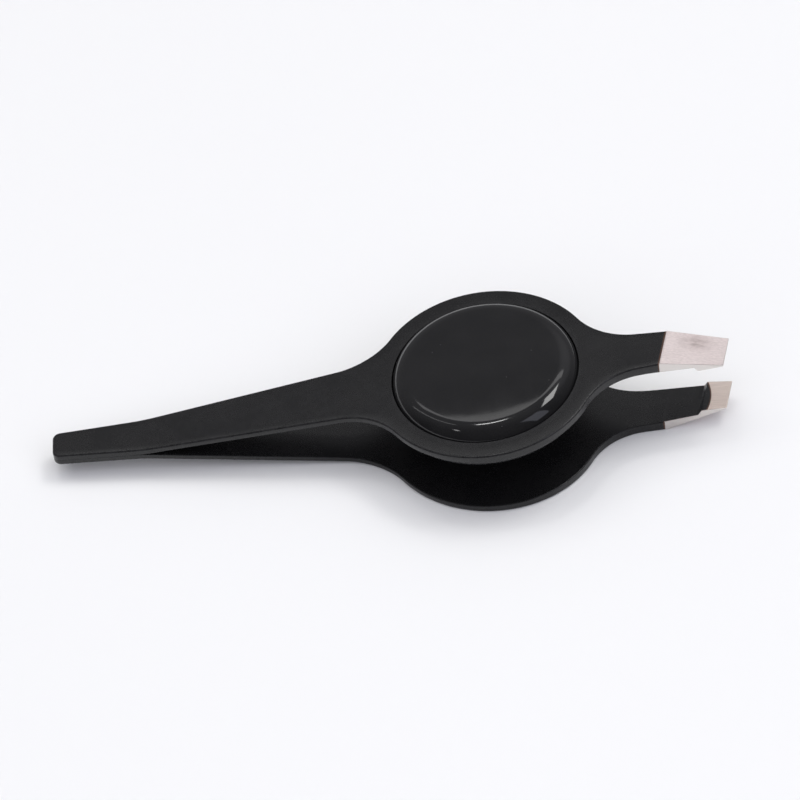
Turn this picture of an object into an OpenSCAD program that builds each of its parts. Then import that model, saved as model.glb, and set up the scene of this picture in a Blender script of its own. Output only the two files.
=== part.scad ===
// Slant-tip tweezers: two bowed steel blades welded at the tail, each widening
// into a round finger pad. The upper pad carries a domed disc in a stamped cup.
//
// The blades are drawn in the tool's own symmetric frame: x runs from the tail
// end to the tips, and z = 0 is the plane halfway between the blades. place()
// then lays the tool on the flat outer face of the lower blade, with the origin
// at the middle of the footprint and +Z up.

/* [Blades] */
// Length from the tail end to the middle of the tip edge
blade_len = 95.3; // [94:0.1:98]
// Blade thickness from the tail to the knee
leg_t = 0.95; // [0.9:0.05:1.1]
// Blade thickness where the bare tip begins
neck_t = 1.6; // [1.4:0.05:1.8]
// Half width at the tail end
tail_half_w = 2.2; // [2:0.1:2.6]
// Growth of the half width for each millimetre of leg
leg_taper = 0.057; // [0.045:0.001:0.065]
// Radius of the two corners at the tail end
tail_corner_r = 1.1; // [0.5:0.1:1.8]

/* [Bow] */
// Distance from the tail end to where the blades part
weld_len = 12.8; // [11:0.1:14]
// Distance from the tail end to the knee, where the leg meets the pad
knee_x = 46; // [44:0.5:48]
// Gap from the middle plane to a blade's inner face at the knee
knee_gap = 4.22; // [4:0.01:4.5]
// Angle that each pad's inner face still opens towards the tips
pad_open = 1.4; // [0:0.1:2]
// Bending radius where the blades part
weld_bend_r = 30; // [15:5:60]
// Bending radius at the knee
knee_bend_r = 52; // [20:2:70]

/* [Pads] */
// Distance from the tail end to the middle of the pads
pad_x = 61.7; // [61:0.1:62.5]
// Radius of the pads
pad_r = 15.8; // [15.4:0.1:16.2]
// Radius of the hollow corners between leg and pad
leg_fillet_r = 10.4; // [8:0.1:12]
// Radius of the hollow corners between pad and neck
neck_fillet_r = 9.8; // [8:0.1:12]

/* [Domed disc] */
// Radius of the domed disc
dome_r = 13.1; // [12.5:0.05:13.2]
// Height of the disc above the pad at its middle
dome_rise = 1.85; // [1.4:0.05:2.4]
// Height of the disc above the pad where its shoulder ends
dome_shoulder_rise = 1.55; // [1.2:0.05:2]
// Width of the rounded shoulder round the disc
dome_shoulder_w = 2.8; // [1.5:0.1:3.5]
// Height where the shoulder turns upright, down in the cup
dome_foot = -0.65; // [-1:0.05:0]
// Width of the groove between disc and cup
groove_w = 0.06; // [0.04:0.02:0.4]
// Depth that the cup is pressed into the pad
cup_depth = 2.3; // [1.4:0.1:2.5]
// Thickness of the cup's wall and bottom, and radius of its outer corner
cup_wall = 1.5; // [1:0.1:1.8]
// Thickness of the adhesive disc under the dome
adhesive_t = 0.15; // [0.1:0.05:0.3]

/* [Tips] */
// Angle of the tip edge away from square
tip_slant = 14.5; // [10:0.5:20]
// Half width at the tip edge
tip_half_w = 2.48; // [2.2:0.02:2.8]
// Half width of the neck where the bare tip begins
neck_half_w = 3.1; // [2.9:0.02:3.3]
// Length of the bare ground tip
bare_len = 8.7; // [8:0.1:9.5]
// Gap from the middle plane to the inner face at the foot of the land
land_foot_gap = 4.8; // [4.6:0.05:5]
// Height of the gripping land above the inner face
land_step = 0.75; // [0.5:0.05:0.9]
// Length of the gripping land with its ramp
land_len = 4; // [3.5:0.1:4.4]
// Length of the ramp up to the land
land_ramp = 0.5; // [0.3:0.1:0.8]
// Thickness left at the tip edge
edge_t = 0.2; // [0.15:0.01:0.35]
// Gap left between each land and the middle plane when the tips are closed
closed_gap = 0.01; // [0.01:0.01:0.05]

/* [Flexing] */
// Distance from the tail end to the pivot that stands for each blade's bending
pivot_x = 22; // [20:0.5:24]
// Radius of the round end of the arm at the pivot
knuckle_r = 0.38; // [0.34:0.01:0.4]
// Radial clearance of the round end in its seat
knuckle_clearance = 0.02; // [0.01:0.01:0.03]
// Gap between the square shoulders at the pivot
shoulder_gap = 0.1; // [0.08:0.01:0.14]

/* [Welds] */
// Number of spot welds along the tail
weld_count = 2; // [1:1:3]
// Radius of each weld nugget
weld_r = 1.1; // [0.8:0.1:1.3]
// Depth that a nugget reaches into each blade
weld_depth = 0.35; // [0.2:0.05:0.5]

/* [Hidden] */
$fn = 96;
far = 60;                                        // longer than any cut needs
arc_step = 5;                                    // degrees between points on an outline's arcs

coat_color = "#2a2a2c";
steel_color = "#cdc3bf";
disc_color = "#141416";
adhesive_color = "#8d8d86";
weld_color = "#77787c";

// Side view of the blade: inner and outer height at each corner along it
bare_x = blade_len - bare_len;                   // start of the bare tip on the centre line
neck_gap = knee_gap + (bare_x - knee_x) * tan(pad_open);
outer_slope = (neck_gap + neck_t - knee_gap - leg_t) / (bare_x - knee_x);
land_x = blade_len - land_len;                   // foot of the ramp on the centre line
tuck_x = bare_x - 2.5;                           // where the inner face starts to close in
tuck_gap = knee_gap + (tuck_x - knee_x) * tan(pad_open);
tuck_slope = (tuck_gap - land_foot_gap) / (land_x - tuck_x);
over_x = blade_len + 3;                          // the profile runs past the tips, which are cut later

// The ground faces of the tip follow lines parallel to the slanted edge. Their
// cross-section is drawn square to that edge, so lengths shrink by this factor.
square = cos(tip_slant);

// Each arm turns about the pivot until its land lies in the middle plane, so the
// land slopes by the closing angle at rest
pivot_gap = (pivot_x - weld_len) * knee_gap / (knee_x - weld_len);
pivot_z = pivot_gap + leg_t / 2;
land_top_gap = land_foot_gap - land_step;
land_reach = blade_len - land_len + land_ramp - pivot_x;
land_rise = land_top_gap - pivot_z;
close_angle = asin((pivot_z - closed_gap) / norm([land_reach, land_rise])) + atan2(land_rise, land_reach);
land_tip_gap = land_top_gap + (land_len - land_ramp) * tan(close_angle);

// The tool lies on the outer face of the lower blade
lie_angle = atan(outer_slope);
base_drop = (knee_gap + leg_t - outer_slope * knee_x) * cos(lie_angle);
tip_far_x = blade_len + tip_half_w * tan(tip_slant);
foot_min_x = -leg_t * sin(lie_angle);
foot_max_x = tip_far_x * cos(lie_angle) + land_tip_gap * sin(lie_angle);

// ---- Functions for outlines ------------------------------------------------

function unit(v) = v / norm(v);

// Points of an arc about c of radius r, from angle a0 to angle a1
function arc(c, r, a0, a1, step = arc_step) =
    let (n = max(2, ceil(abs(a1 - a0) / step)))
    [for (i = [0:n]) c + r * [cos(a0 + (a1 - a0) * i / n), sin(a0 + (a1 - a0) * i / n)]];

// Points that round the corner p, between the points a and b, to radius r
function round_corner(a, p, b, r, n = 6) =
    let (u = unit(a - p), v = unit(b - p),
         half = acos(max(-1, min(1, u * v))) / 2,
         c = p + unit(u + v) * r / sin(half),
         t0 = p + u * r / tan(half), t1 = p + v * r / tan(half),
         a0 = atan2(t0.y - c.y, t0.x - c.x), raw = atan2(t1.y - c.y, t1.x - c.x) - a0,
         turn = raw > 180 ? raw - 360 : raw < -180 ? raw + 360 : raw)
    [for (i = [0:n]) c + r * [cos(a0 + turn * i / n), sin(a0 + turn * i / n)]];

// Centre of the hollow corner of radius r between the pad and the straight side
// y = k + m * x. side is -1 on the leg and 1 on the neck.
function fillet_centre(k, m, r, side) =
    let (h = k + r * sqrt(1 + m * m),
         a = 1 + m * m, b = 2 * (h * m - pad_x), c = pad_x * pad_x + h * h - pow(pad_r + r, 2),
         x = (-b + side * sqrt(b * b - 4 * a * c)) / (2 * a))
    [x, h + m * x];

// ---- Plan outline ----------------------------------------------------------

neck_taper = (tip_half_w - neck_half_w) / bare_len;
neck_k = tip_half_w - neck_taper * blade_len;    // half width of the neck, carried back to x = 0
leg_c = fillet_centre(tail_half_w, leg_taper, leg_fillet_r, -1);
neck_c = fillet_centre(neck_k, neck_taper, neck_fillet_r, 1);
leg_dir = atan(leg_taper);
neck_dir = atan(neck_taper);
pad_a0 = atan2(leg_c.y, leg_c.x - pad_x);        // angle at the pad where the leg's fillet ends
pad_a1 = atan2(neck_c.y, neck_c.x - pad_x);      // and where the neck's begins
over_half_w = neck_k + neck_taper * over_x;

upper_side = concat(
    round_corner([0, 0], [0, tail_half_w], [knee_x, tail_half_w + leg_taper * knee_x], tail_corner_r, 5),
    arc(leg_c, leg_fillet_r, leg_dir - 90, pad_a0 - 180),
    arc([pad_x, 0], pad_r, pad_a0, pad_a1),
    arc(neck_c, neck_fillet_r, pad_a1 + 180 - 360, neck_dir - 90),
    [[over_x, over_half_w]]);
lower_side = [for (i = [len(upper_side) - 1:-1:0]) [upper_side[i].x, -upper_side[i].y]];

module plan(z0, z1) {
    translate([0, 0, z0])
        linear_extrude(z1 - z0)
            polygon(concat(upper_side, lower_side));
}

// ---- Side profile ----------------------------------------------------------

// Inner and outer heights as chains of corners with their bending radii
inner_face = [[0, 0], [weld_len, 0], [knee_x, knee_gap], [tuck_x, tuck_gap],
              [over_x, tuck_gap - (over_x - tuck_x) * tuck_slope]];
outer_face = [[0, leg_t], [weld_len, leg_t], [knee_x, knee_gap + leg_t],
              [over_x, knee_gap + leg_t + (over_x - knee_x) * outer_slope]];
inner_points = concat(
    [inner_face[0]],
    round_corner(inner_face[0], inner_face[1], inner_face[2], weld_bend_r),
    round_corner(inner_face[1], inner_face[2], inner_face[3], knee_bend_r),
    [inner_face[3], inner_face[4]]);
outer_points = concat(
    [outer_face[0]],
    round_corner(outer_face[0], outer_face[1], outer_face[2], weld_bend_r - leg_t),
    round_corner(outer_face[1], outer_face[2], outer_face[3], knee_bend_r + leg_t),
    [outer_face[3]]);
side_profile = concat(inner_points, [for (i = [len(outer_points) - 1:-1:0]) outer_points[i]]);

// A profile in x and z, extruded across the tool
module across(points, half_w) {
    translate([0, half_w, 0])
        rotate([90, 0, 0])
            linear_extrude(2 * half_w)
                polygon(points);
}

// The same, square to the slanted tip edge, with x = 0 at that edge
module across_slant(points) {
    translate([blade_len, 0, 0])
        rotate([0, 0, -tip_slant])
            across(points, 3 * neck_half_w);
}

module box(x0, x1) {
    translate([x0, -far / 2, -far / 2])
        cube([x1 - x0, far, far]);
}

module blade_blank() {
    intersection() {
        across(side_profile, pad_r + 1);
        plan(-1, 12);
    }
}

// Everything from the bare tip's slanted boundary onwards
module beyond_boundary() {
    across_slant([[-bare_len * square, -1], [far, -1], [far, far], [-bare_len * square, far]]);
}

// ---- Upper blade, in the symmetric frame -----------------------------------

module heel_shape() {
    difference() {
        intersection() {
            blade_blank();
            box(-1, pivot_x - shoulder_gap / 2);
        }
        pivot_cylinder(knuckle_r + knuckle_clearance, pad_r);
        weld_nuggets();
    }
}

module arm_shape() {
    difference() {
        union() {
            intersection() {
                blade_blank();
                box(pivot_x + shoulder_gap / 2, blade_len);
            }
            pivot_cylinder(knuckle_r, tail_half_w + leg_taper * pivot_x - knuckle_r / 4);
        }
        beyond_boundary();
    }
}

module pivot_cylinder(r, half_w) {
    translate([pivot_x, half_w, pivot_z])
        rotate([90, 0, 0])
            cylinder(r = r, h = 2 * half_w);
}

module tip_shape() {
    bevel_start = (neck_gap + neck_t) - 0.25 * outer_slope;
    bevel_back = 0.25;
    tip_outer = land_tip_gap + edge_t;
    intersection() {
        difference() {
            union() {
                intersection() {
                    blade_blank();
                    beyond_boundary();
                }
                intersection() {
                    gripping_land();
                    plan(-1, 12);
                }
            }
            across_slant([[bevel_back - bare_len * square, bevel_start], [0, tip_outer],
                          [3, tip_outer - 1], [3, far], [bevel_back - bare_len * square, far]]);
        }
        across_slant([[-far, -1], [0, -1], [0, far], [-far, far]]);
    }
}

// The raised land, which lies flat on the other one when the tips are closed
module gripping_land() {
    root = neck_gap + neck_t / 4;
    lip = land_top_gap - 1;
    intersection() {
        across_slant([[-land_len * square, land_foot_gap], [-(land_len - land_ramp) * square, land_top_gap],
                      [-(land_len - 2 * land_ramp) * square, lip], [1, lip], [1, root],
                      [-land_len * square, root]]);
        across([[land_x - 2, land_tip_gap - (land_len + 2) * tan(close_angle)],
                [blade_len + 2, land_tip_gap + 2 * tan(close_angle)], [blade_len + 2, root],
                [land_x - 2, root]], pad_r);
    }
}

// The pad's own frame: origin on the pad's outer face, z square to it
module on_pad() {
    translate([pad_x, 0, knee_gap + leg_t + (pad_x - knee_x) * outer_slope])
        rotate([0, -lie_angle, 0])
            children();
}

module cup_boss() {
    pad_t = leg_t + (pad_x - knee_x) * (outer_slope - tan(pad_open));
    bottom = -(cup_depth + cup_wall);
    outer_r = dome_r + groove_w + cup_wall;
    on_pad()
        rotate_extrude()
            polygon(concat([[0, -pad_t / 2], [0, bottom]],
                           arc([outer_r - cup_wall, bottom + cup_wall], cup_wall, -90, 0, 10),
                           [[outer_r, -pad_t / 2]]));
}

module cup_recess() {
    on_pad()
        translate([0, 0, -cup_depth])
            cylinder(r = dome_r + groove_w, h = far);
}

module weld_nuggets() {
    for (i = [1:weld_count])
        translate([weld_len * i / (weld_count + 1) * 0.9, 0, -weld_depth])
            cylinder(r = weld_r, h = 2 * weld_depth);
}

// ---- Placing ---------------------------------------------------------------

module place() {
    translate([-(foot_min_x + foot_max_x) / 2, 0, base_drop])
        rotate([0, -lie_angle, 0])
            children();
}

module place_lower() {
    place()
        mirror([0, 0, 1])
            children();
}

// ---- Sub-parts -------------------------------------------------------------

module upper_heel() {
    color(coat_color)
        place()
            heel_shape();
}

module lower_heel() {
    color(coat_color)
        place_lower()
            heel_shape();
}

module spot_welds() {
    color(weld_color)
        place()
            weld_nuggets();
}

module upper_arm() {
    color(coat_color)
        place()
            difference() {
                union() {
                    arm_shape();
                    cup_boss();
                }
                cup_recess();
            }
}

module lower_arm() {
    color(coat_color)
        place_lower()
            arm_shape();
}

module upper_tip() {
    color(steel_color)
        place()
            tip_shape();
}

module lower_tip() {
    color(steel_color)
        place_lower()
            tip_shape();
}

// A disc with an upright wall, a wide rounded shoulder and a slightly crowned top
module domed_disc() {
    crown_h = dome_rise - dome_shoulder_rise;
    crown_half = dome_r - dome_shoulder_w;
    shoulder_h = dome_shoulder_rise - dome_foot;
    crown_r = (crown_half * crown_half + crown_h * crown_h) / (2 * crown_h);
    crown_a = asin(crown_half / crown_r);
    color(disc_color)
        place()
            on_pad()
                rotate_extrude()
                    polygon(concat([[0, adhesive_t - cup_depth], [dome_r, adhesive_t - cup_depth]],
                                   [for (a = [0:6:90]) [crown_half + dome_shoulder_w * cos(a),
                                                        dome_foot + shoulder_h * sin(a)]],
                                   arc([0, dome_rise - crown_r], crown_r, 90 - crown_a * 0.8, 90, 1)));
}

module adhesive_disc() {
    color(adhesive_color)
        place()
            on_pad()
                translate([0, 0, -cup_depth])
                    cylinder(r = dome_r - 0.5, h = adhesive_t);
}

upper_heel();
lower_heel();
spot_welds();
upper_arm();
lower_arm();
upper_tip();
lower_tip();
domed_disc();
adhesive_disc();
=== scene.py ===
"""Looks of the slant-tip tweezers: two coated steel blades with bare ground tips and a domed disc.

Shapes are worked out in the tool's own frame, in millimetres: x runs from the tail end to the
tips, y runs across, and z = 0 is the plane halfway between the blades. TOOL lays that frame
down in the row frame, in metres, in the same way as the CAD source does.
"""

import math

import bpy
import numpy as np
from mathutils import Matrix, Vector


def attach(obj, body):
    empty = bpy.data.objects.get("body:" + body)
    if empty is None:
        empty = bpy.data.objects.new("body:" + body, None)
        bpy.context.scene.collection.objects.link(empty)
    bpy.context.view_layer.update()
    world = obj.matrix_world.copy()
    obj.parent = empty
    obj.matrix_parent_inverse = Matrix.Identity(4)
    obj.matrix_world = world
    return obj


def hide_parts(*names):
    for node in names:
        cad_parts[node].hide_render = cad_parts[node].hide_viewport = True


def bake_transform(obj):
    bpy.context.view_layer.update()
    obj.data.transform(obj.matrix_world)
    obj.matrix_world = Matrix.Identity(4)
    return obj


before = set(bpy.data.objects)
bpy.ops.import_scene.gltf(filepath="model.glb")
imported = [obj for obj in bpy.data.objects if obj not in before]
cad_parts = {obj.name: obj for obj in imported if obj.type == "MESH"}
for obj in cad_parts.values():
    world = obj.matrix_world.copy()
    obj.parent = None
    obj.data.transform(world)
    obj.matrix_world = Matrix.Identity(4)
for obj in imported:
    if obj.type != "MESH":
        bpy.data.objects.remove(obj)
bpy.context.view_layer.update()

# ---- Driving dimensions, in millimetres and degrees, as in the CAD source ------------------

BLADE_LEN = 95.3
LEG_T = 0.95
NECK_T = 1.6
TAIL_HALF_W = 2.2
LEG_TAPER = 0.057
TAIL_CORNER_R = 1.1

WELD_LEN = 12.8
KNEE_X = 46.0
KNEE_GAP = 4.22
PAD_OPEN = 1.4
WELD_BEND_R = 30.0
KNEE_BEND_R = 52.0

PAD_X = 61.7
PAD_R = 15.8
LEG_FILLET_R = 10.4
NECK_FILLET_R = 9.8

DOME_R = 13.1
DOME_RISE = 1.85
DOME_SHOULDER_RISE = 1.55
DOME_SHOULDER_W = 2.8
DOME_FOOT = -0.65                # the shoulder turns upright at this height, down in the cup
GROOVE_W = 0.06
CUP_DEPTH = 2.3
CUP_WALL = 1.5
ADHESIVE_T = 0.15

TIP_SLANT = 14.5
TIP_HALF_W = 2.48
NECK_HALF_W = 3.1
BARE_LEN = 8.7
LAND_FOOT_GAP = 4.8
LAND_STEP = 0.75
LAND_LEN = 4.0
LAND_RAMP = 0.5
EDGE_T = 0.2
CLOSED_GAP = 0.01
PIVOT_X = 22.0

TUCK_BACK = 2.5                  # the inner face starts to close this far behind the bare tip
OVERRUN = 3.0                    # faces are worked out this far past the tip
GRIND_START = 0.25               # the tip's outer face is ground from this far in front of the coat

# Finish details that only the visual model has
OUTER_EDGE_R = 0.26              # rounding of the outer face's rim
ROLL_W = 0.66                    # the outer face rolls off over this width, up to its rounded rim
ROLL_DROP = 0.025
PAD_ROLL = 2.5                   # the same on the pads, this many times as wide
PAD_ROLL_REACH = 0.8             # in full over this share of the pad's radius
PAD_ROLL_FADE = 4.0              # and faded out this far past its rim
INNER_EDGE_R = 0.14              # rounding of the inner face's rim
SEAM_R = 0.03                    # the same where the two blades are welded and the coat fills the seam
SEAM_FADE = 4.0                  # the seam opens up over this length in front of the weld
COAT_LIP = 0.04                  # the coat stands this much proud of the bare steel
CUP_LIP_R = 0.04                 # rounding where the pad's face rolls into the cup
BOSS_ROOT_R = 0.5                # hollow corner round the cup's underside
DISC_FOOT_R = 0.2                # rounding of the disc's hidden bottom edge
BURY = 0.015                     # how far a rounded part reaches into its neighbour
CUTTER_TOP = 2.0                 # the cup's cutter stands this far above the pad's face
GRIND_EDGE = 0.05                # small flats that grinding leaves on the tip's edges
FILM_STEP = 0.006                # the coat film on a tip's inner face stands this much proud
FILM_DEPTH = 0.03                # and reaches this far in
FILM_LAP = 0.35                  # it starts this far back over the blade's coat
FILM_END = 2.48                  # least distance from the tip edge to the film's own curved end
FILM_END_Y = -0.9                # where across the tip that is
FILM_BOW = 0.08                  # how strongly the end curves away from there, per millimetre
SCORCH = 0.2                     # width of the brown line where a coat ends

# ---- Derived shape ------------------------------------------------------------------------


def tan_of(degrees):
    return math.tan(math.radians(degrees))


TAN_SLANT = tan_of(TIP_SLANT)
SQUARE = math.cos(math.radians(TIP_SLANT))
BARE_X = BLADE_LEN - BARE_LEN
LAND_X = BLADE_LEN - LAND_LEN
TUCK_X = BARE_X - TUCK_BACK
OVER_X = BLADE_LEN + OVERRUN
NECK_GAP = KNEE_GAP + (BARE_X - KNEE_X) * tan_of(PAD_OPEN)
TUCK_GAP = KNEE_GAP + (TUCK_X - KNEE_X) * tan_of(PAD_OPEN)
TUCK_SLOPE = (TUCK_GAP - LAND_FOOT_GAP) / (LAND_X - TUCK_X)
OUTER_SLOPE = (NECK_GAP + NECK_T - KNEE_GAP - LEG_T) / (BARE_X - KNEE_X)
LIE = math.atan(OUTER_SLOPE)

PIVOT_Z = (PIVOT_X - WELD_LEN) * KNEE_GAP / (KNEE_X - WELD_LEN) + LEG_T / 2
LAND_TOP_GAP = LAND_FOOT_GAP - LAND_STEP
LAND_REACH = BLADE_LEN - LAND_LEN + LAND_RAMP - PIVOT_X
LAND_RISE = LAND_TOP_GAP - PIVOT_Z
CLOSE = (math.asin((PIVOT_Z - CLOSED_GAP) / math.hypot(LAND_REACH, LAND_RISE))
         + math.atan2(LAND_RISE, LAND_REACH))
LAND_TIP_GAP = LAND_TOP_GAP + (LAND_LEN - LAND_RAMP) * math.tan(CLOSE)

BASE_DROP = (KNEE_GAP + LEG_T - OUTER_SLOPE * KNEE_X) * math.cos(LIE)
FOOT_MIN_X = -LEG_T * math.sin(LIE)
FOOT_MAX_X = (BLADE_LEN + TIP_HALF_W * TAN_SLANT) * math.cos(LIE) + LAND_TIP_GAP * math.sin(LIE)

MM = 0.001
LEAN = Matrix.Rotation(-LIE, 4, "Y")
TOOL = (Matrix.Scale(MM, 4)
        @ Matrix.Translation((-(FOOT_MIN_X + FOOT_MAX_X) / 2, 0, BASE_DROP)) @ LEAN)
MIRROR = Matrix.Diagonal((1, 1, -1, 1))
PAD_FRAME = (Matrix.Translation((PAD_X, 0, KNEE_GAP + LEG_T + (PAD_X - KNEE_X) * OUTER_SLOPE))
             @ LEAN)


# ---- Outlines -----------------------------------------------------------------------------


def unit(v):
    return v / np.linalg.norm(v)


def arc(centre, r, a0, a1, step=2.5):
    """Points of an arc from angle a0 to angle a1, in degrees."""
    n = max(2, math.ceil(abs(a1 - a0) / step))
    angles = np.radians(np.linspace(a0, a1, n + 1))
    return np.asarray(centre) + r * np.stack([np.cos(angles), np.sin(angles)], 1)


def round_corner(a, p, b, r, n=16):
    """Points that round the corner p, between the points a and b, to radius r."""
    a, p, b = (np.asarray(q, float) for q in (a, p, b))
    u, v = unit(a - p), unit(b - p)
    half = math.acos(np.clip(u @ v, -1, 1)) / 2
    centre = p + unit(u + v) * r / math.sin(half)
    start, end = p + u * r / math.tan(half), p + v * r / math.tan(half)
    a0 = math.degrees(math.atan2(*(start - centre)[::-1]))
    turn = (math.degrees(math.atan2(*(end - centre)[::-1])) - a0 + 180) % 360 - 180
    return arc(centre, r, a0, a0 + turn, abs(turn) / n)


def fillet_centre(k, m, r, side):
    """Centre of the hollow corner of radius r between the pad and the straight side y = k + m x."""
    h = k + r * math.sqrt(1 + m * m)
    a, b, c = 1 + m * m, 2 * (h * m - PAD_X), PAD_X ** 2 + h * h - (PAD_R + r) ** 2
    x = (-b + side * math.sqrt(b * b - 4 * a * c)) / (2 * a)
    return np.array([x, h + m * x])


def side_heights(gap, weld_r, knee_r, end):
    """Heights along one face of the blade, as a chain of points with its bends rounded."""
    corners = [(0, gap), (WELD_LEN, gap), (KNEE_X, KNEE_GAP + gap), end[0]]
    return np.vstack([corners[0], round_corner(*corners[:3], weld_r),
                      round_corner(*corners[1:], knee_r), *end])


INNER_LINE = side_heights(0, WELD_BEND_R, KNEE_BEND_R,
                          [(TUCK_X, TUCK_GAP), (OVER_X, TUCK_GAP - (OVER_X - TUCK_X) * TUCK_SLOPE)])
OUTER_LINE = side_heights(LEG_T, WELD_BEND_R - LEG_T, KNEE_BEND_R + LEG_T,
                          [(OVER_X, KNEE_GAP + LEG_T + (OVER_X - KNEE_X) * OUTER_SLOPE)])


def inner_z(x):
    """Height of the inner face, before any gripping land is raised on it."""
    return np.interp(x, INNER_LINE[:, 0], INNER_LINE[:, 1])


def outer_z(x):
    """Height of the outer face, before the tip is ground."""
    return np.interp(x, OUTER_LINE[:, 0], OUTER_LINE[:, 1])


def smooth(x, x0, x1):
    """Rises from 0 at x0 to 1 at x1, level at both ends."""
    t = np.clip((x - x0) / (x1 - x0), 0, 1)
    return t * t * (3 - 2 * t)


NECK_TAPER = (TIP_HALF_W - NECK_HALF_W) / BARE_LEN
NECK_K = TIP_HALF_W - NECK_TAPER * BLADE_LEN


def slant_end(x, sign):
    """Where the slanted line that crosses the middle at x meets the neck's side of that sign."""
    half_w = (NECK_K + NECK_TAPER * x) / (1 - sign * NECK_TAPER * TAN_SLANT)
    return np.array([x + sign * half_w * TAN_SLANT, half_w])


def blade_side(sign):
    """Outline of the coated blade on one side, as (x, distance from the middle), from tail to tip."""
    leg_c = fillet_centre(TAIL_HALF_W, LEG_TAPER, LEG_FILLET_R, -1)
    neck_c = fillet_centre(NECK_K, NECK_TAPER, NECK_FILLET_R, 1)
    leg_dir, neck_dir = (math.degrees(math.atan(m)) for m in (LEG_TAPER, NECK_TAPER))
    pad_a0 = math.degrees(math.atan2(leg_c[1], leg_c[0] - PAD_X))
    pad_a1 = math.degrees(math.atan2(neck_c[1], neck_c[0] - PAD_X))
    corner = round_corner((0, 0), (0, TAIL_HALF_W), (KNEE_X, TAIL_HALF_W + LEG_TAPER * KNEE_X),
                          TAIL_CORNER_R, 12)
    leg_arc = arc(leg_c, LEG_FILLET_R, leg_dir - 90, pad_a0 - 180)
    pad_arc = arc((PAD_X, 0), PAD_R, pad_a0, pad_a1)
    neck_arc = arc(neck_c, NECK_FILLET_R, pad_a1 - 180, neck_dir - 90)
    return np.vstack([corner, between(corner[-1], leg_arc[0], 48), leg_arc, pad_arc[1:], neck_arc[1:],
                      between(neck_arc[-1], slant_end(BARE_X, sign), 10), slant_end(BARE_X, sign)])


def between(a, b, n):
    """The points that part the line from a to b into n steps, without its ends."""
    return a + (b - a) * np.linspace(0, 1, n + 1)[1:-1, None]


def outward(points):
    """Outward normals of a side outline that runs from tail to tip."""
    run = np.gradient(points, axis=0)
    normals = np.stack([-run[:, 1], run[:, 0]], 1)
    normals /= np.linalg.norm(normals, axis=1)[:, None]
    normals[0] = (-1, 0)
    return normals


# ---- Meshes -------------------------------------------------------------------------------


def new_object(name, vertices, faces):
    """A mesh object in the scene, of the given points and faces."""
    mesh = bpy.data.meshes.new(name)
    mesh.from_pydata([tuple(v) for v in vertices], [], faces)
    mesh.validate()
    piece = bpy.data.objects.new(name, mesh)
    bpy.context.scene.collection.objects.link(piece)
    return piece


def apply_modifiers(piece):
    """Bakes the piece's modifiers into its mesh."""
    depsgraph = bpy.context.evaluated_depsgraph_get()
    made = bpy.data.meshes.new_from_object(piece.evaluated_get(depsgraph))
    piece.modifiers.clear()
    piece.data = made
    return piece


def combine(piece, other, operation):
    """Joins other to piece, or cuts it out."""
    modifier = piece.modifiers.new(operation, "BOOLEAN")
    modifier.operation = operation
    modifier.solver = "EXACT"
    modifier.object = other
    apply_modifiers(piece)
    bpy.data.objects.remove(other)


def finish_mesh(piece, matrix, smooth_angle=35):
    """Lays the mesh down in the row frame and smooths it, keeping its flats flat."""
    piece.data.transform(matrix)
    if matrix.determinant() < 0:
        piece.data.flip_normals()
    piece.data.polygons.foreach_set("use_smooth", [True] * len(piece.data.polygons))
    piece.data.set_sharp_from_angle(angle=math.radians(smooth_angle))
    modifier = piece.modifiers.new("weighted", "WEIGHTED_NORMAL")
    modifier.keep_sharp = True
    apply_modifiers(piece)
    mark_edges(piece)
    return piece


def store(piece, name, values):
    """Keeps a number for each point, for the materials."""
    piece.data.attributes.new(name, "FLOAT", "POINT").data.foreach_set("value", values)


def mark_edges(piece):
    """Stores how much each point lies on a rounded edge, for the coat's wear and the steel's painted
    edge shade.
    """
    normals = np.zeros(len(piece.data.vertices) * 3)
    piece.data.vertex_normals.foreach_get("vector", normals)
    upright = np.clip(np.abs(normals[2::3]), 0, 1)
    store(piece, "edge", 2 * upright * np.sqrt(1 - upright ** 2))


def mark_coat_end(piece, end):
    """Stores each point's distance from the coat's end, up to 1 mm. end gives the end's
    distance from the tip edge, measured along the blade, for a place across it."""
    points = np.zeros(len(piece.data.vertices) * 3)
    piece.data.vertices.foreach_get("co", points)
    x, y = points[0::3], points[1::3]
    store(piece, "coat_end", np.clip((BLADE_LEN - x + y * TAN_SLANT - end(y)) * SQUARE, 0, 1))


def revolve(name, profile, n=160, lean=None):
    """A closed solid of revolution about z. profile runs from the axis below to the axis above."""
    profile = np.asarray(profile, float)
    angles = 2 * math.pi * np.arange(n) / n
    rings = profile[1:-1]
    vertices = [(r * math.cos(a), r * math.sin(a), z) for r, z in rings for a in angles]
    if lean is not None:
        vertices = [(x, y, z + lean(x, z)) for x, y, z in vertices]
    low, high = len(vertices), len(vertices) + 1
    vertices += [(0, 0, profile[0][1]), (0, 0, profile[-1][1])]
    last = (len(rings) - 1) * n
    faces = []
    for i in range(n):
        j = (i + 1) % n
        faces.append((low, j, i))
        faces.append((high, last + i, last + j))
        faces += [(k * n + i, k * n + j, (k + 1) * n + j, (k + 1) * n + i)
                  for k in range(len(rings) - 1)]
    return new_object(name, vertices, faces)


def rounding(r, n=5, start=0.0):
    """(inset, drop) pairs down a rounded edge of radius r, from the face to the wall."""
    return [(r * (1 - math.sin(t)), r * (math.cos(start) - math.cos(t)))
            for t in np.linspace(start, math.pi / 2, n + 1)]


def rolled_edge():
    """(inset, drop, share) down the outer rim: the face rolls off gently before it turns down,
    and share is how much of that gentle roll is done."""
    turn = rounding(OUTER_EDGE_R, 6, math.atan(2 * ROLL_DROP / ROLL_W))
    gentle = [(turn[0][0], 0, share) for share in (0, 0.2, 0.4, 0.6, 0.8)]
    return gentle + [(inset, drop, 1) for inset, drop in turn]


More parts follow.
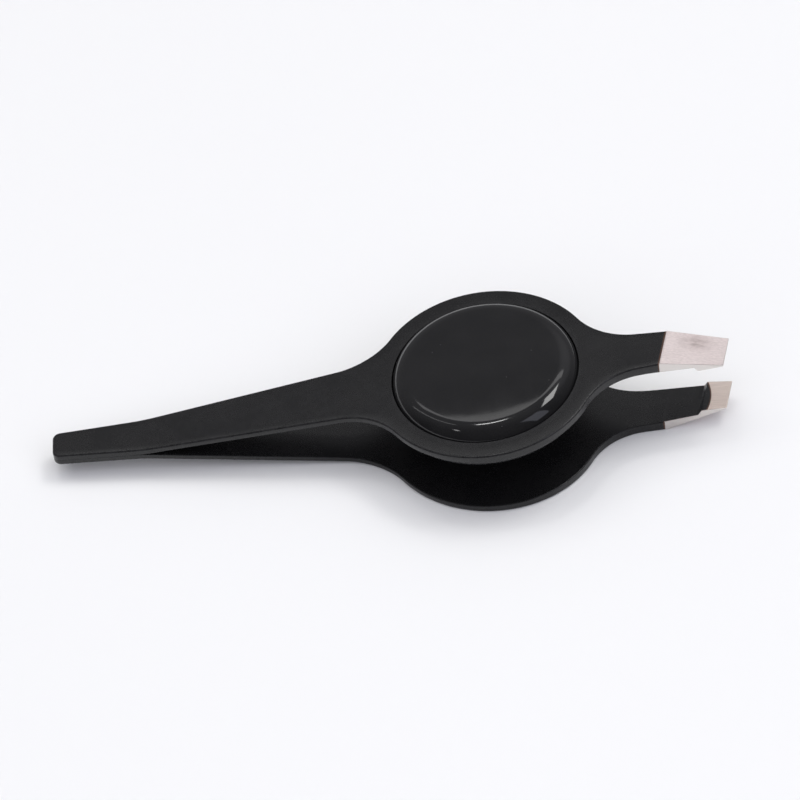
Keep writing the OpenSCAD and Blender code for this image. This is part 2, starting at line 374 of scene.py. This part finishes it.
def blade_skin(name):
    """The coated blade from the tail to the bare tip, as one closed mesh with rounded rims."""
    sides = {sign: blade_side(sign) for sign in (1, -1)}
    normals = {sign: outward(points) for sign, points in sides.items()}
    count = len(sides[1])

    def ring(inset, drop, share, inner):
        """One loop round the blade: the + side from tail to tip, then the - side back."""
        loop = []
        for sign in (1, -1):
            points = sides[sign]
            if inner:
                size = rim_r(points[:, 0]) / INNER_EDGE_R
                insets, drops = inset * size, drop * size
            else:
                wide = pad_share(points[:, 0])
                insets = inset + ROLL_W * wide * (1 - share)
                drops = drop + ROLL_DROP * wide * share ** 2
            x, y = (points - normals[sign] * insets[:, None]).T
            x[-1] = BARE_X + sign * y[-1] * TAN_SLANT - COAT_LIP * inset / OUTER_EDGE_R
            z = inner_z(x) + drops if inner else outer_z(x) - drops
            side = np.stack([x, sign * y, z], 1)
            loop.append(side if sign > 0 else side[::-1])
        return np.vstack(loop)

    rings = [ring(*step, False) for step in rolled_edge()]
    rings += [ring(*step, 1, True) for step in reversed(rounding(INNER_EDGE_R))]
    size = 2 * count
    faces = []
    for k in range(len(rings) - 1):
        faces += [(k * size + i, k * size + (i + 1) % size, (k + 1) * size + (i + 1) % size,
                   (k + 1) * size + i) for i in range(size)]
    bottom = (len(rings) - 1) * size
    for i in range(count - 1):
        rung = (i, size - 1 - i, size - 2 - i, i + 1)
        faces.append(rung)
        faces.append(tuple(bottom + v for v in reversed(rung)))
    return new_object(name, np.vstack(rings), faces)


def rim_r(x):
    """Radius of the inner rim: next to nothing along the weld, where the coat fills the seam."""
    return SEAM_R + (INNER_EDGE_R - SEAM_R) * smooth(x, WELD_LEN, WELD_LEN + SEAM_FADE)


def pad_share(x):
    """How many times as wide as on the leg the outer face rolls off."""
    full, end = PAD_R * PAD_ROLL_REACH, PAD_R + PAD_ROLL_FADE
    return 1 + (PAD_ROLL - 1) * (smooth(x, PAD_X - end, PAD_X - full)
                                 * (1 - smooth(x, PAD_X + full, PAD_X + end)))


def cup_boss():
    """The underside of the pressed cup, with a hollow corner where it leaves the pad."""
    pad_t = LEG_T + (PAD_X - KNEE_X) * (OUTER_SLOPE - tan_of(PAD_OPEN))
    wall_r = DOME_R + GROOVE_W + CUP_WALL
    bottom = -(CUP_DEPTH + CUP_WALL)
    root = -pad_t + BURY
    profile = np.vstack([
        [(0, bottom)],
        arc((wall_r - CUP_WALL, bottom + CUP_WALL), CUP_WALL, -90, 0, 6),
        arc((wall_r + BOSS_ROOT_R, root - BOSS_ROOT_R), BOSS_ROOT_R, 180, 90, 9),
        [(wall_r + BOSS_ROOT_R, -pad_t / 2), (0, -pad_t / 2)]])
    tilt = math.tan(LIE - math.radians(PAD_OPEN))
    boss = revolve("boss", profile,
                   lean=lambda x, z: -x * tilt * np.clip((z - bottom) / (root - bottom), 0, 1))
    boss.data.transform(PAD_FRAME)
    return boss


def cup_recess():
    """The space inside the cup, flared where the pad's face rolls into it."""
    recess_r = DOME_R + GROOVE_W
    profile = np.vstack([
        [(0, -CUP_DEPTH)],
        arc((recess_r - CUP_LIP_R, CUP_LIP_R - CUP_DEPTH), CUP_LIP_R, -90, 0, 18),
        arc((recess_r + CUP_LIP_R, BURY - CUP_LIP_R), CUP_LIP_R, 180, 90, 15),
        [(recess_r + CUP_LIP_R, CUTTER_TOP), (0, CUTTER_TOP)]])
    recess = revolve("recess", profile)
    recess.data.transform(PAD_FRAME)
    return recess


def domed_disc():
    """A disc with an upright wall, a wide elliptical shoulder and a slightly crowned top."""
    crown_h = DOME_RISE - DOME_SHOULDER_RISE
    shoulder_h = DOME_SHOULDER_RISE - DOME_FOOT
    shoulder_r = DOME_R - DOME_SHOULDER_W
    start = math.atan(2 * crown_h / shoulder_r * DOME_SHOULDER_W / shoulder_h)
    turns = np.linspace(math.pi / 2, start, 25)
    shoulder = np.stack([shoulder_r + DOME_SHOULDER_W * np.sin(turns),
                         DOME_FOOT + shoulder_h * np.cos(turns)], 1)
    edge_r, edge_z = shoulder[-1]
    radii = edge_r * np.linspace(1, 0, 9)[1:]
    crown = np.stack([radii, edge_z + crown_h * (1 - (radii / edge_r) ** 2)], 1)
    foot = ADHESIVE_T - CUP_DEPTH
    foot_edge = arc((DOME_R - DISC_FOOT_R, foot + DISC_FOOT_R), DISC_FOOT_R, -90, 0, 18)
    profile = np.vstack([[(0, foot)], foot_edge, shoulder, crown])
    return revolve("domed_disc_polished", profile, 192)


def land_gap(x, y):
    """Height of a tip's inner face, with the raised gripping land, at (x, y)."""
    back = BLADE_LEN - x + y * TAN_SLANT
    ramp = LAND_FOOT_GAP - (LAND_LEN - back) * LAND_STEP / LAND_RAMP
    plane = LAND_TIP_GAP - (BLADE_LEN - x) * math.tan(CLOSE)
    raised = max(ramp, plane) if back < LAND_LEN else inner_z(x)
    return min(inner_z(x), raised)


def bare_tip(name):
    """The ground end of a blade: bevelled outer face, side walls and the gripping land."""
    bevel_start = NECK_GAP + NECK_T - GRIND_START * OUTER_SLOPE
    bevel_back = BARE_LEN - GRIND_START / SQUARE
    tip_edge = LAND_TIP_GAP + EDGE_T
    stations = [BARE_LEN, bevel_back, 6.6, 5.2, LAND_LEN, LAND_LEN - LAND_RAMP, 1.6, 0]
    vertices = []
    for back in stations:
        ground = tip_edge + (bevel_start - tip_edge) * back / bevel_back
        lip = COAT_LIP * back / BARE_LEN
        for sign in (1, -1):
            x, half_w = slant_end(BLADE_LEN - back, sign)
            y = sign * (half_w - lip)
            outer = (ground if back < BARE_LEN else outer_z(x)) - lip
            vertices += [(x, y, outer), (x, y, land_gap(x, y))]
    faces = [(0, 1, 3, 2)]
    for i in range(len(stations) - 1):
        a, b = 4 * i, 4 * i + 4
        faces += [(a, a + 2, b + 2, b), (a + 3, a + 1, b + 1, b + 3),
                  (a + 1, a, b, b + 1), (a + 2, a + 3, b + 3, b + 2)]
    end = 4 * len(stations) - 4
    faces.append((end, end + 2, end + 3, end + 1))
    tip = new_object(name, vertices, faces)
    bevel = tip.modifiers.new("ground edges", "BEVEL")
    bevel.width = GRIND_EDGE
    bevel.segments = 2
    bevel.limit_method = "ANGLE"
    bevel.angle_limit = math.radians(20)
    return apply_modifiers(tip)


def mark_land(tip):
    """Stores which points lie on the gripping land."""
    on_land = []
    for x, y, z in (v.co for v in tip.data.vertices):
        near = abs(z - land_gap(x, y)) < GRIND_EDGE
        on_land.append(float(near and BLADE_LEN - x + y * TAN_SLANT < LAND_LEN))
    store(tip, "land", on_land)


def film_edge(y):
    """How far back from the tip edge the coat film on the inner face ends: a shallow curve."""
    return FILM_END + FILM_BOW * (y - FILM_END_Y) ** 2


def coat_film(name):
    """The coat that runs on over a tip's inner face, up the ramp and onto the land."""
    across = np.linspace(-1, 1, 25)
    ramp_top = LAND_LEN - LAND_RAMP
    foot = 1.5 * GRIND_EDGE          # the film cuts across the hollow corner at the ramp's foot
    up_to_ramp = [*np.linspace(BARE_LEN + FILM_LAP, LAND_LEN + foot, 9), LAND_LEN - foot]
    onto_land = np.linspace(0, 1, 6)
    vertices = []
    for level in (-FILM_STEP, FILM_DEPTH):
        for u in across:
            last_stretch = film_edge(u * TIP_HALF_W) - ramp_top
            for back in [*up_to_ramp, *(ramp_top + last_stretch * onto_land)]:
                _, half_w = slant_end(BLADE_LEN - back, 1 if u > 0 else -1)
                y = u * (half_w - COAT_LIP - GRIND_EDGE)
                x = BLADE_LEN - back + y * TAN_SLANT
                vertices.append((x, y, land_gap(x, y) + level))
    rows, columns = len(across), len(up_to_ramp) + len(onto_land)
    size = rows * columns
    faces = []
    for i in range(rows - 1):
        for j in range(columns - 1):
            a, b = i * columns + j, (i + 1) * columns + j
            quad = (a, a + 1, b + 1, b)
            faces += [quad, tuple(size + v for v in reversed(quad))]
    rim = ([i * columns for i in range(rows)]
           + [(rows - 1) * columns + j for j in range(1, columns)]
           + [i * columns + columns - 1 for i in range(rows - 2, -1, -1)]
           + [j for j in range(columns - 2, 0, -1)])
    for a, b in zip(rim, rim[1:] + rim[:1]):
        faces.append((a, b, size + b, size + a))
    return new_object(name, vertices, faces)


# ---- Materials ----------------------------------------------------------------------------


class Finish:
    """A procedural material on one Principled shader."""

    def __init__(self, name, **plain):
        self.material = bpy.data.materials.new(name)
        self.material.use_nodes = True
        self.nodes = self.material.node_tree.nodes
        self.links = self.material.node_tree.links
        self.shader = self.nodes["Principled BSDF"]
        for socket, value in plain.items():
            self.shader.inputs[socket.replace("_", " ")].default_value = value
        place = self.add("ShaderNodeTexCoord")
        self.millimetres = self.add("ShaderNodeVectorMath", {0: place.outputs["Object"], 3: 1 / MM},
                                    operation="SCALE").outputs[0]

    def add(self, kind, inputs=None, **settings):
        node = self.nodes.new(kind)
        for key, value in settings.items():
            setattr(node, key, value)
        for key, value in (inputs or {}).items():
            self.put(node.inputs[key], value)
        return node

    def put(self, socket, value):
        if isinstance(value, bpy.types.NodeSocket):
            self.links.new(value, socket)
        else:
            socket.default_value = value

    def set(self, socket, value):
        self.put(self.shader.inputs[socket], value)

    def noise(self, scale, detail=3.0, stretch=(1, 1, 1), roughness=0.5):
        """Noise with about scale features per millimetre, pulled out along an axis by stretch."""
        mapped = self.add("ShaderNodeMapping", {"Vector": self.millimetres, "Scale": stretch})
        return self.add("ShaderNodeTexNoise", {"Vector": mapped.outputs[0], "Scale": scale,
                                               "Detail": detail, "Roughness": roughness}).outputs[0]

    def ramp(self, value, *stops):
        """Maps a value to a value or colour through (position, result) stops."""
        node = self.add("ShaderNodeValToRGB", {0: value})
        elements = node.color_ramp.elements
        while len(elements) < len(stops):
            elements.new(0.5)
        for element, (position, result) in zip(elements, stops):
            element.position = position
            element.color = (*([result] * 3 if np.isscalar(result) else result), 1)
        return node.outputs[0]

    def maths(self, operation, a, b=0.0):
        return self.add("ShaderNodeMath", {0: a, 1: b}, operation=operation).outputs[0]

    def mix(self, share, a, b):
        node = self.add("ShaderNodeMix", {0: share, 6: a, 7: b}, data_type="RGBA")
        return node.outputs[2]

    def stored(self, name):
        """A number that the mesh keeps for each point."""
        return self.add("ShaderNodeAttribute", attribute_name=name).outputs["Fac"]

    def bump(self, height, distance, strength=1.0, below=None):
        """Adds relief, in metres, on top of what is below."""
        inputs = {"Height": height, "Distance": distance, "Strength": strength}
        if below is not None:
            inputs["Normal"] = below
        return self.add("ShaderNodeBump", inputs).outputs[0]


def coat_finish():
    """Satin black lacquer: fine spray grain, faint cloudy wear, scorched brown where it ends."""
    finish = Finish("satin_black_coat", IOR=1.45)
    cloud = finish.noise(0.16, 4, roughness=0.6)
    grain = finish.noise(7, 2)
    orange_peel = finish.noise(1.1, 2)
    patchy = finish.ramp(finish.noise(0.9, 3), (0.35, 0.2), (0.65, 1.0))
    rubbed = finish.maths("MULTIPLY", finish.stored("edge"), patchy)
    base = finish.ramp(cloud, (0.3, (0.0055, 0.0055, 0.0059)), (0.7, (0.008, 0.0078, 0.0082)))
    base = finish.mix(finish.maths("MULTIPLY", rubbed, 0.35), base, (0.04, 0.04, 0.042, 1))
    scorched = finish.ramp(finish.stored("coat_end"), (SCORCH * 0.4, 1.0), (SCORCH, 0.0))
    finish.set("Base Color", finish.mix(scorched, base, (0.10, 0.05, 0.032, 1)))
    rough = finish.ramp(cloud, (0.3, 0.23), (0.7, 0.28))
    rough = finish.maths("ADD", rough, finish.ramp(grain, (0.3, 0.0), (0.7, 0.04)))
    finish.set("Roughness", finish.maths("SUBTRACT", rough, finish.maths("MULTIPLY", rubbed, 0.06)))
    peel = finish.bump(orange_peel, 0.000004)
    finish.set("Normal", finish.bump(grain, 0.0000012, below=peel))
    return finish.material


def disc_finish():
    """Glossy black moulding: hairline scratches and a few specks of dust."""
    finish = Finish("gloss_black_disc", IOR=1.5)
    cloud = finish.noise(0.2, 3)
    scratch_a = finish.noise(3.0, 2, stretch=(0.12, 3, 1))
    scratch_b = finish.noise(3.0, 2, stretch=(2.2, 0.15, 1))
    scratches = finish.maths("MAXIMUM", finish.ramp(scratch_a, (0.66, 0.0), (0.72, 1.0)),
                             finish.ramp(scratch_b, (0.68, 0.0), (0.74, 1.0)))
    cells = finish.add("ShaderNodeTexVoronoi", {"Vector": finish.millimetres, "Scale": 0.55})
    dust = finish.ramp(cells.outputs["Distance"], (0.02, 1.0), (0.035, 0.0))
    dusty = finish.maths("MULTIPLY", dust, 0.35)
    base = finish.ramp(cloud, (0.3, (0.0075, 0.0075, 0.008)), (0.7, (0.0105, 0.0103, 0.0108)))
    finish.set("Base Color", finish.mix(dusty, base, (0.2, 0.2, 0.21, 1)))
    rough = finish.maths("ADD", finish.ramp(cloud, (0.3, 0.055), (0.7, 0.09)),
                         finish.maths("MULTIPLY", scratches, 0.06))
    finish.set("Roughness", finish.maths("ADD", rough, finish.maths("MULTIPLY", dust, 0.4)))
    finish.set("Normal", finish.bump(finish.noise(0.35, 1), 0.000006))
    return finish.material


def steel_finish():
    """Bare ground steel: lengthwise brushing, a smudge, and painted reflections: greyer side walls and
    dark edges.
    """
    finish = Finish("brushed_steel", Metallic=1.0)
    long_lines = finish.noise(9, 3, stretch=(0.035, 1, 1))
    fine_lines = finish.noise(26, 2, stretch=(0.03, 1, 1))
    cloud = finish.noise(0.45, 3)
    shorten = Vector((0.5, 1, 1))
    middle = (TOOL @ Vector((BLADE_LEN - BARE_LEN / 2, 1.2, NECK_GAP))) / MM * shorten
    place = finish.add("ShaderNodeMapping", {"Vector": finish.millimetres, "Scale": shorten})
    reach = finish.add("ShaderNodeVectorMath", {0: place.outputs[0], 1: middle}, operation="DISTANCE")
    spot = finish.ramp(finish.maths("DIVIDE", reach.outputs["Value"], 1.7), (0.2, 1.0), (1.0, 0.0))
    streaks = finish.ramp(finish.noise(1.5, 3, stretch=(0.3, 1, 1)), (0.35, 0.3), (0.65, 1.0))
    smudge = finish.maths("MULTIPLY", spot, streaks)
    tone = finish.ramp(long_lines, (0.3, (0.70, 0.615, 0.60)), (0.7, (0.85, 0.755, 0.74)))
    land_tone = finish.ramp(long_lines, (0.3, (0.76, 0.65, 0.58)), (0.7, (0.92, 0.80, 0.73)))
    tone = finish.mix(finish.stored("land"), tone, land_tone)
    normal = finish.add("ShaderNodeNewGeometry").outputs["True Normal"]
    upright = finish.maths("ABSOLUTE", finish.add("ShaderNodeSeparateXYZ", {0: normal}).outputs["Z"])
    # painted reflection: faces that stand upright get a greyer, less pink tint, standing in for the
    # different surroundings they reflect
    painted_wall_reflection = finish.ramp(upright, (0.2, 1.0), (0.4, 0.0))
    tone = finish.mix(painted_wall_reflection, tone, (0.74, 0.70, 0.67, 1))
    tone = finish.mix(finish.maths("MULTIPLY", smudge, 0.95), tone, (0.40, 0.32, 0.31, 1))
    # painted shade: the rounded edges between the tip's faces are darkened, standing in for the dark
    # reflection they catch
    painted_edge_shade = finish.ramp(finish.stored("edge"), (0.75, 0.0), (0.95, 0.8))
    tone = finish.mix(painted_edge_shade, tone, (0.20, 0.165, 0.155, 1))
    finish.set("Base Color", tone)
    rough = finish.maths("ADD", finish.ramp(cloud, (0.3, 0.30), (0.7, 0.38)),
                         finish.ramp(fine_lines, (0.3, 0.0), (0.7, 0.08)))
    finish.set("Roughness", rough)
    lines = finish.bump(long_lines, 0.000006)
    finish.set("Normal", finish.bump(fine_lines, 0.000003, below=lines))
    return finish.material


def adhesive_finish():
    """Milky acrylic tape with a cellular grain."""
    finish = Finish("adhesive", Subsurface_Weight=0.2)
    cells = finish.noise(3.5, 4)
    finish.set("Base Color", finish.ramp(cells, (0.3, (0.42, 0.41, 0.36)), (0.7, (0.58, 0.57, 0.52))))
    finish.set("Roughness", finish.ramp(cells, (0.3, 0.55), (0.7, 0.75)))
    finish.set("Normal", finish.bump(cells, 0.00002))
    return finish.material


def weld_finish():
    """Re-set weld metal: dull grey with straw and blue heat tints."""
    finish = Finish("weld_metal", Metallic=1.0)
    tint = finish.noise(1.4, 3)
    finish.set("Base Color", finish.ramp(tint, (0.3, (0.36, 0.35, 0.36)), (0.5, (0.46, 0.40, 0.31)),
                                         (0.7, (0.30, 0.33, 0.42))))
    finish.set("Roughness", finish.ramp(finish.noise(5, 3), (0.3, 0.4), (0.7, 0.6)))
    finish.set("Normal", finish.bump(finish.noise(4, 4), 0.00001))
    return finish.material


def floor_finish():
    """Matt and nearly white, with the faintest mottling."""
    finish = Finish("pale_floor", Roughness=0.75, Specular_IOR_Level=0.1)
    finish.set("Base Color", finish.ramp(finish.noise(0.004, 2), (0.3, (0.84, 0.84, 0.842)),
                                         (0.7, (0.852, 0.852, 0.852))))
    return finish.material


def paint(piece, material):
    """Gives the whole piece one material."""
    piece.data.materials.clear()
    piece.data.materials.append(material)


# ---- Pieces -------------------------------------------------------------------------------

coat = coat_finish()
steel = steel_finish()


def bend_with(piece):
    """Bakes the piece's placement into its mesh."""
    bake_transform(piece)


for level, side in (("upper", 1), ("lower", -1)):
    body = level + "_blade"
    placing = TOOL if side > 0 else TOOL @ MIRROR

    skin = blade_skin(level + "_blade_coated")
    if level == "upper":
        combine(skin, cup_boss(), "UNION")
        combine(skin, cup_recess(), "DIFFERENCE")
    mark_coat_end(skin, lambda y: BARE_LEN)
    finish_mesh(skin, placing)
    paint(skin, coat)
    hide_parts(level + "_heel", level + "_arm")
    bend_with(skin)

    tip = bare_tip(level + "_tip_ground")
    mark_land(tip)
    finish_mesh(tip, placing, 18)
    paint(tip, steel)
    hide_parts(level + "_tip")
    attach(tip, body)

    film = coat_film(level + "_tip_coat_film")
    mark_coat_end(film, film_edge)
    finish_mesh(film, placing)
    paint(film, coat)
    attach(film, body)

disc = finish_mesh(domed_disc(), TOOL @ PAD_FRAME, 60)
paint(disc, disc_finish())
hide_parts("domed_disc")
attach(disc, "upper_blade")

paint(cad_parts["adhesive_disc"], adhesive_finish())
paint(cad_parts["spot_welds"], weld_finish())

# ---- Studio -------------------------------------------------------------------------------

FLOOR_R = 3.0
floor = new_object("floor", [(FLOOR_R * math.cos(a), FLOOR_R * math.sin(a), 0)
                             for a in np.linspace(0, 2 * math.pi, 64, endpoint=False)], [range(64)])
paint(floor, floor_finish())


def towards(azimuth, elevation):
    """Direction from the object. Azimuth 0 is the camera's side, 90 the side of the tips."""
    a, e = math.radians(azimuth), math.radians(elevation)
    return Vector((math.sin(a) * math.cos(e), -math.cos(a) * math.cos(e), math.sin(e)))


def softbox(name, azimuth, elevation, distance, wide, high, radiance, colour, mirrored=True):
    """A rectangular lamp that faces the object; wide and high are the angles that it fills.
    A lamp that isn't mirrored gives soft light without showing in the gloss."""
    lamp = bpy.data.lights.new(name, "AREA")
    lamp.shape = "RECTANGLE"
    lamp.size = 2 * distance * tan_of(wide / 2)
    lamp.size_y = 2 * distance * tan_of(high / 2)
    lamp.energy = radiance * math.pi * lamp.size * lamp.size_y
    lamp.color = colour
    holder = bpy.data.objects.new(name, lamp)
    bpy.context.scene.collection.objects.link(holder)
    away = towards(azimuth, elevation)
    holder.location = away * distance
    holder.rotation_mode = "QUATERNION"
    holder.rotation_quaternion = away.to_track_quat("Z", "Y")
    holder.visible_camera = False
    holder.visible_glossy = mirrored


softbox("back_fill", 180, 77, 1.3, 90, 36, 1.55, (1.0, 1.0, 0.985), mirrored=False)
softbox("front_fill", 0, 50, 1.3, 110, 60, 0.92, (0.96, 0.96, 1.04), mirrored=False)
softbox("crest_strip", 180, 56, 1.3, 46, 5, 1.6, (1.0, 1.0, 1.0))
softbox("window", 120, 62, 1.2, 20, 11, 7.0, (1.0, 1.0, 0.99))
softbox("window_pane", 58, 45, 1.2, 17, 42, 1.0, (0.93, 0.96, 1.12))
softbox("high_strip", -159, 72, 1.2, 9, 3, 18.0, (1.0, 1.0, 1.0))
softbox("left_lamp", -63, 56, 1.2, 4, 3, 8.0, (1.0, 1.0, 1.0))
softbox("left_strip", -117, 53, 1.2, 2, 28, 2.2, (1.0, 1.0, 1.0))


def wall_glow(world):
    """Soft surroundings: dark on the camera's side, pale behind, and brightest behind the tips."""
    nodes, links = world.node_tree.nodes, world.node_tree.links
    direction = nodes.new("ShaderNodeTexCoord").outputs["Generated"]

    def facing(way, start, end, dim, bright):
        """Rises from dim to bright as the direction turns towards way."""
        dot = nodes.new("ShaderNodeVectorMath")
        dot.operation = "DOT_PRODUCT"
        links.new(direction, dot.inputs[0])
        dot.inputs[1].default_value = way
        rise = nodes.new("ShaderNodeMapRange")
        rise.interpolation_type = "SMOOTHSTEP"
        links.new(dot.outputs["Value"], rise.inputs["Value"])
        ends = {"From Min": start, "From Max": end, "To Min": dim, "To Max": bright}
        for socket, value in ends.items():
            rise.inputs[socket].default_value = value
        return rise.outputs[0]

    total = nodes.new("ShaderNodeMath")
    links.new(facing(towards(180, 20), -0.1, 0.75, 0.08, 0.29), total.inputs[0])
    links.new(facing(towards(146, 44), 0.89, 1.0, 0.0, 0.25), total.inputs[1])
    links.new(total.outputs[0], nodes["Background"].inputs["Strength"])
    nodes["Background"].inputs["Color"].default_value = (0.955, 0.95, 1.0, 1)


world = bpy.data.worlds.new("studio")
world.use_nodes = True
wall_glow(world)
bpy.context.scene.world = world
bpy.context.scene.view_settings.view_transform = "Standard"

# ---- Camera -------------------------------------------------------------------------------

CAM_TURN = -4.01                 # degrees round the tool, from square on
CAM_ELEVATION = 46.74            # degrees above the tool's middle plane
CAM_ROLL = -9.38
CAM_DISTANCE = 600.0             # millimetres from the aim point
CAM_AIM = (60.0, 0.0, 0.0)
CAM_SIDE = -10.769               # millimetres sideways and up from straight behind the aim point
CAM_UP = 0.237
VIEW_WIDTH = 112.0919            # millimetres across the picture, at the aim point's distance
SENSOR_WIDTH = 36.0

turn, lift, roll = (math.radians(v) for v in (CAM_TURN, CAM_ELEVATION, CAM_ROLL))
ahead = Vector((math.sin(turn) * math.cos(lift), math.cos(turn) * math.cos(lift), -math.sin(lift)))
level_right = Vector((math.cos(turn), -math.sin(turn), 0))
level_up = level_right.cross(ahead)
right = level_right * math.cos(roll) + level_up * math.sin(roll)
up = level_up * math.cos(roll) - level_right * math.sin(roll)
spot = Vector(CAM_AIM) - ahead * CAM_DISTANCE + right * CAM_SIDE + up * CAM_UP

camera = bpy.data.objects.new("camera", bpy.data.cameras.new("camera"))
bpy.context.scene.collection.objects.link(camera)
axes = Matrix((right, up, -ahead)).transposed().to_4x4()
camera.matrix_world = Matrix.Translation(TOOL @ spot) @ LEAN @ axes
camera.data.sensor_width = SENSOR_WIDTH
camera.data.lens = SENSOR_WIDTH * CAM_DISTANCE / VIEW_WIDTH
camera.data.clip_start = 0.01
bpy.context.scene.camera = camera
